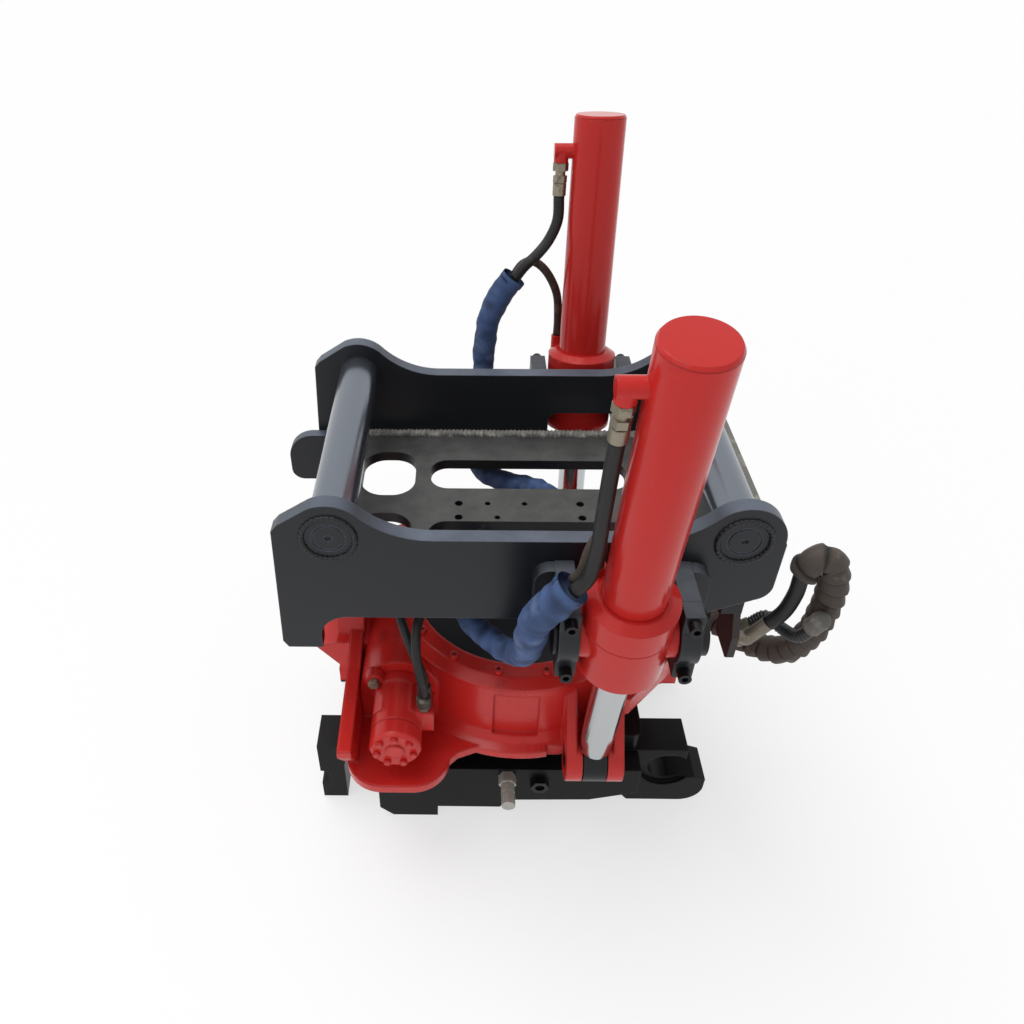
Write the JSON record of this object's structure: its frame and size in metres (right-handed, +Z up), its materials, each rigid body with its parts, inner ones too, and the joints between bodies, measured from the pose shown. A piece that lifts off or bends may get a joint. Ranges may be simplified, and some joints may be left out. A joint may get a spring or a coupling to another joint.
{
  "type": "excavator tilt rotator",
  "caption": "Excavator tilt rotator: pin-on hitch with tilt cylinders over a worm-driven rotor and a hydraulic quick coupler",
  "frame": {"origin": "midway between the two machine pins, on the plane of their axes and midway between the side plates", "axes": "+X towards the tool hook end, +Y along the machine pins away from the worm motor, +Z up"},
  "size_m": [0.95, 0.9026, 1.1722],
  "materials": {
    "red_paint": "glossy red paint over castings and tube",
    "black_paint": "satin black paint, worn grey at the edges",
    "black_oxide": "blackened screws and washers",
    "steel": "machined steel",
    "chrome": "hard chrome rod",
    "zinc": "dulled zinc and brass fittings",
    "bronze": "plain bronze bushes",
    "hose_rubber": "dusty rubber hose",
    "blue_sleeve": "woven blue hose sleeve"
  },
  "bodies": {
    "coupler": {"turntable": "black_paint", "ring_gear": "steel", "gear_bolts": "black_oxide", "swivel_core": "steel", "coupler_deck": "black_paint", "coupler_cheeks": "black_paint", "coupler_bars": "black_paint", "lock_housing": "black_paint", "lock_cylinder": "black_paint", "hose_nipples": "zinc"},
    "lock": {"lock_pins": "steel"},
    "housing": {"rotor_housing": "red_paint", "housing_cover": "red_paint", "housing_bolts": "red_paint", "swivel_cap": "black_paint", "housing_bushes": "bronze", "rod_pins": "steel", "worm_cap": "red_paint", "worm_bearings": "steel", "motor_body": "red_paint", "motor_end_cap": "red_paint", "motor_fittings": "zinc", "loop_clamp": "black_paint"},
    "worm": {"worm_shaft": "steel"},
    "bracket": {"side_plate_front": "black_paint", "side_plate_rear": "black_paint", "web_plate": "black_paint", "foot_gusset": "black_paint", "machine_pins": "black_paint", "pin_guard": "black_paint", "tilt_lugs": "black_paint", "tilt_pins": "steel", "trunnion_arms": "black_paint", "trunnion_caps": "black_paint", "cap_bolts": "black_oxide", "hose_block": "zinc", "loop_plate": "black_paint", "loop_fittings": "zinc", "front_sleeve": "blue_sleeve", "rear_sleeve": "blue_sleeve", "motor_hoses": "hose_rubber", "loop_hoses": "hose_rubber"},
    "barrel_front_body": {"barrel_front": "red_paint", "end_cap_front": "red_paint", "collar_front": "red_paint", "trunnion_washers_front": "black_oxide", "port_fitting_front": "zinc", "front_hoses": "hose_rubber"},
    "barrel_rear_body": {"barrel_rear": "red_paint", "end_cap_rear": "red_paint", "collar_rear": "red_paint", "trunnion_washers_rear": "black_oxide", "port_fitting_rear": "zinc", "rear_hoses": "hose_rubber"},
    "rod_front_body": {"rod_front": "chrome", "piston_front": "steel", "rod_bush_front": "bronze"},
    "rod_rear_body": {"rod_rear": "chrome", "piston_rear": "steel", "rod_bush_rear": "bronze"}
  },
  "joints": [
    {"name": "rotate", "type": "hinge", "parent": "coupler", "child": "housing", "pos_m": [0, 0, -0.5], "axis": [0, 0, 1], "continuous": true},
    {"name": "worm_spin", "type": "hinge", "parent": "housing", "child": "worm", "pos_m": [-0.216, 0, -0.41], "axis": [0, 1, 0], "continuous": true},
    {"name": "tilt", "type": "hinge", "parent": "housing", "child": "bracket", "pos_m": [0, 0, -0.251], "axis": [1, 0, 0], "range_deg": [-40, 40], "deforming": ["front_sleeve", "rear_sleeve", "motor_hoses", "loop_hoses"]},
    {"name": "trunnion_front", "type": "hinge", "parent": "bracket", "child": "barrel_front_body", "pos_m": [0.129, -0.32797, -0.10015], "axis": [1, 0, 0], "range_deg": [-20, 20], "deforming": ["front_hoses"]},
    {"name": "trunnion_rear", "type": "hinge", "parent": "bracket", "child": "barrel_rear_body", "pos_m": [0.129, 0.32797, -0.10015], "axis": [1, 0, 0], "range_deg": [-20, 20], "deforming": ["rear_hoses"]},
    {"name": "rod_pivot_front", "type": "hinge", "parent": "housing", "child": "rod_front_body", "pos_m": [0.129, -0.26616, -0.49489], "axis": [1, 0, 0], "range_deg": [-20, 20]},
    {"name": "rod_pivot_rear", "type": "hinge", "parent": "housing", "child": "rod_rear_body", "pos_m": [0.129, 0.26616, -0.49489], "axis": [1, 0, 0], "range_deg": [-20, 20]},
    {"name": "lock_slide", "type": "slide", "parent": "coupler", "child": "lock", "axis": [-1, 0, 0], "range_m": [0, 0.075]}
  ],
  "couplings": [
    {"joint": "worm_spin", "follows": "rotate", "ratio": -60},
    {"joint": "trunnion_front", "follows": "tilt", "ratio": -0.5},
    {"joint": "trunnion_rear", "follows": "tilt", "ratio": -0.5},
    {"joint": "rod_pivot_front", "follows": "tilt", "ratio": 0.5},
    {"joint": "rod_pivot_rear", "follows": "tilt", "ratio": 0.5}
  ]
}
